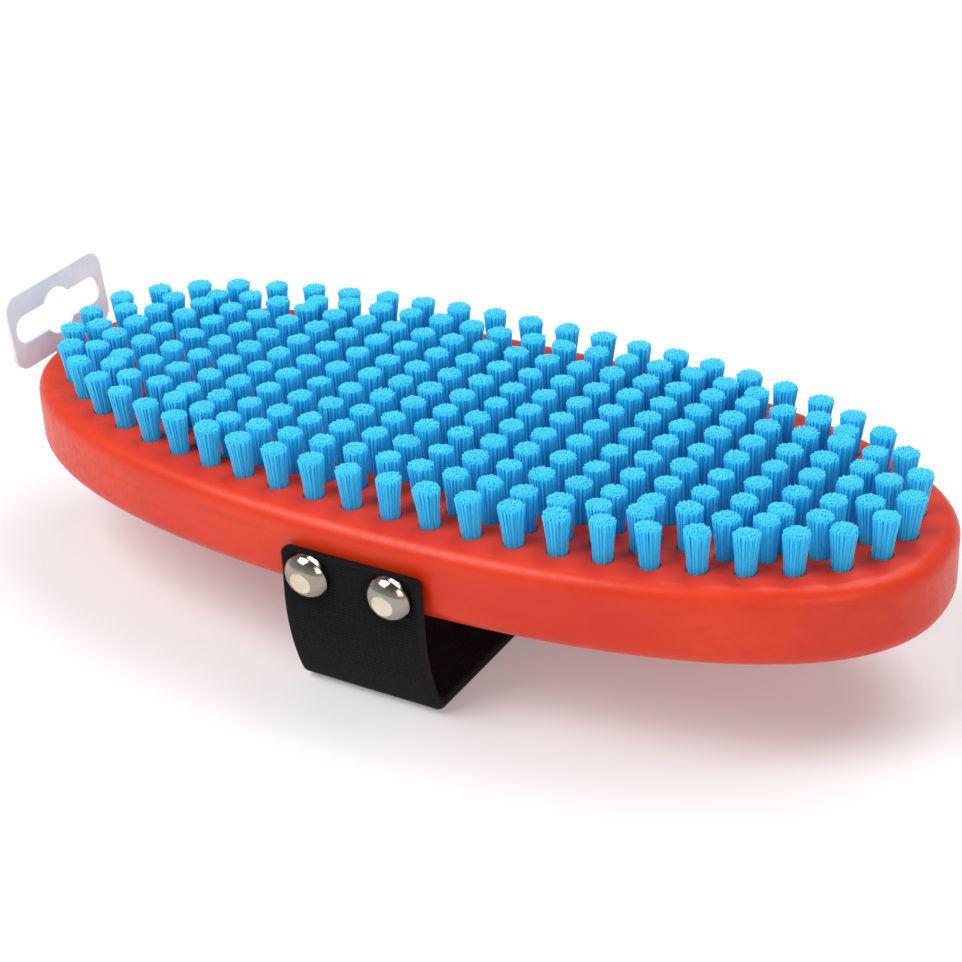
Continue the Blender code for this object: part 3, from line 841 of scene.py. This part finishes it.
def slot_outline():
    """The hanging slot: two narrow wings with a round bulb in the middle."""
    wing = SLOT_WING_HEIGHT / 2
    reach = Vector((SLOT_WIDTH / 2 - wing, 0.0))
    centre = Vector((0.0, FACE_Z + SLOT_ABOVE_FACE))
    meet = math.asin(wing / SLOT_BULB_RADIUS)
    quarter = math.pi / 2
    outline = arc_points(centre + reach, wing, -quarter, quarter, 16)
    outline += arc_points(centre, SLOT_BULB_RADIUS, meet, math.pi - meet, 24)
    outline += arc_points(centre - reach, wing, quarter, 3 * quarter, 16)
    outline += arc_points(centre, SLOT_BULB_RADIUS, math.pi + meet, 2 * math.pi - meet, 24)
    return outline


def rounded_plate_mesh(name, loops, thickness, edge):
    """A flat plate in XY from its outline and its holes, with rounded edges."""
    curve = bpy.data.curves.new(name, "CURVE")
    curve.dimensions = "2D"
    curve.fill_mode = "BOTH"
    curve.extrude = thickness / 2 - edge
    curve.bevel_depth = edge
    curve.bevel_resolution = 3
    curve.offset = -edge
    for loop in loops:
        spline = curve.splines.new("POLY")
        spline.points.add(len(loop) - 1)
        spline.use_cyclic_u = True
        for target, point in zip(spline.points, loop):
            target.co = (point.x, point.y, 0.0, 1.0)
    flat = bpy.data.objects.new(name, curve)
    bpy.context.scene.collection.objects.link(flat)
    bpy.context.view_layer.update()
    mesh = bpy.data.meshes.new_from_object(
        flat.evaluated_get(bpy.context.evaluated_depsgraph_get())
    )
    bpy.data.objects.remove(flat)
    return mesh


def build_tab(material):
    screw_z = (SCREW_HIGH.z + SCREW_LOW.z) / 2
    hole = arc_points(Vector((0.0, screw_z)), SCREW_HOLE_RADIUS, 0.0, 2 * math.pi, 32)[:-1]
    loops = (tab_outline(screw_z), slot_outline(), hole)
    mesh = rounded_plate_mesh("frosted_tab", loops, TAB_THICKNESS, TAB_EDGE)
    bend_z = (screw_z + TAB_FOOT_RADIUS + FACE_Z - TAB_BELOW_FACE) / 2
    foot_x = TAB_HIGH.x - TAB_THICKNESS / 2
    for vertex in mesh.vertices:
        across, height, depth = vertex.co
        lean = max(height - bend_z, 0.0) * math.tan(TAB_LEAN)
        vertex.co = (foot_x + depth - lean, across, height)
    piece_from_mesh("frosted_tab", mesh, "tab", ["hang_tab"], [material], 40.0)


# ---------------------------------------------------------------- stage


def build_floor(material):
    mesh_data = bmesh.new()
    reach = FLOOR_REACH
    corners = ((-reach, -reach), (reach, -reach), (reach, reach), (-reach, reach))
    mesh_data.faces.new([mesh_data.verts.new((x, y, -FLOOR_DROP)) for x, y in corners])
    mesh = mesh_from_bmesh("floor", mesh_data)
    mesh.materials.append(material)
    floor = bpy.data.objects.new("floor", mesh)
    bpy.context.scene.collection.objects.link(floor)


def build_light(name, place, target, size, power, colour=(1.0, 1.0, 1.0)):
    data = bpy.data.lights.new(name, "AREA")
    data.shape = "RECTANGLE"
    data.size, data.size_y = size
    data.energy = power
    data.color = colour
    light = bpy.data.objects.new(name, data)
    light.location = place
    heading = Vector(target) - Vector(place)
    light.rotation_euler = heading.to_track_quat("-Z", "Y").to_euler()
    bpy.context.scene.collection.objects.link(light)


def build_lights():
    middle = (0.0, 0.0, 0.03)
    build_light("key", (-0.45, -0.55, 0.95), middle, (0.7, 0.7), 11.0)
    build_light("top", (0.25, 0.45, 1.05), middle, (1.1, 0.6), 9.0)
    build_light("fill", (0.95, -0.65, 0.55), middle, (0.6, 0.6), 3.0)


def build_world():
    """A soft grey room, paler at the horizon than overhead."""
    world = bpy.data.worlds.new("studio")
    world.use_nodes = True
    tree = world.node_tree
    heading = node(tree, "ShaderNodeTexCoord").outputs["Generated"]
    height = node(tree, "ShaderNodeSeparateXYZ", [("Vector", heading)]).outputs["Z"]
    room = blended(tree, between(tree, height, 0.0, 0.75), WORLD_HORIZON, WORLD_OVERHEAD)
    tree.links.new(room, tree.nodes["Background"].inputs["Color"])
    bpy.context.scene.world = world


def build_camera():
    data = bpy.data.cameras.new("photo_angle")
    data.lens = CAMERA_LENS
    data.clip_start = 0.01
    data.clip_end = 50.0
    camera = bpy.data.objects.new("photo_angle", data)
    aim = (-Vector(CAMERA_BACK)).to_track_quat("-Z", "Y").to_matrix().to_4x4()
    roll = Matrix.Rotation(CAMERA_ROLL, 4, "Z")
    camera.matrix_world = Matrix.Translation(CAMERA_PLACE) @ aim @ roll
    bpy.context.scene.collection.objects.link(camera)
    bpy.context.scene.camera = camera


def build_scene():
    lacquer = lacquer_material()
    nylon = nylon_material()
    chrome = chrome_material("bright_chrome", (0.34, 0.32, 0.28), 0.07, 0.22)
    nickel = chrome_material("satin_nickel", (0.72, 0.66, 0.52), 0.26, 0.40)
    for seed, name in enumerate(tuft_nodes()):
        build_tufts(name, seed, nylon)
    build_block(lacquer)
    build_strap([stud_place(name) for name in stud_names()], webbing_material())
    for name in stud_names():
        build_stud(name, [chrome, nickel])
    build_screw(chrome)
    build_tab(tab_material())
    build_floor(floor_material())
    build_lights()
    build_world()
    build_camera()
    bpy.context.scene.view_settings.view_transform = "Standard"


build_scene()
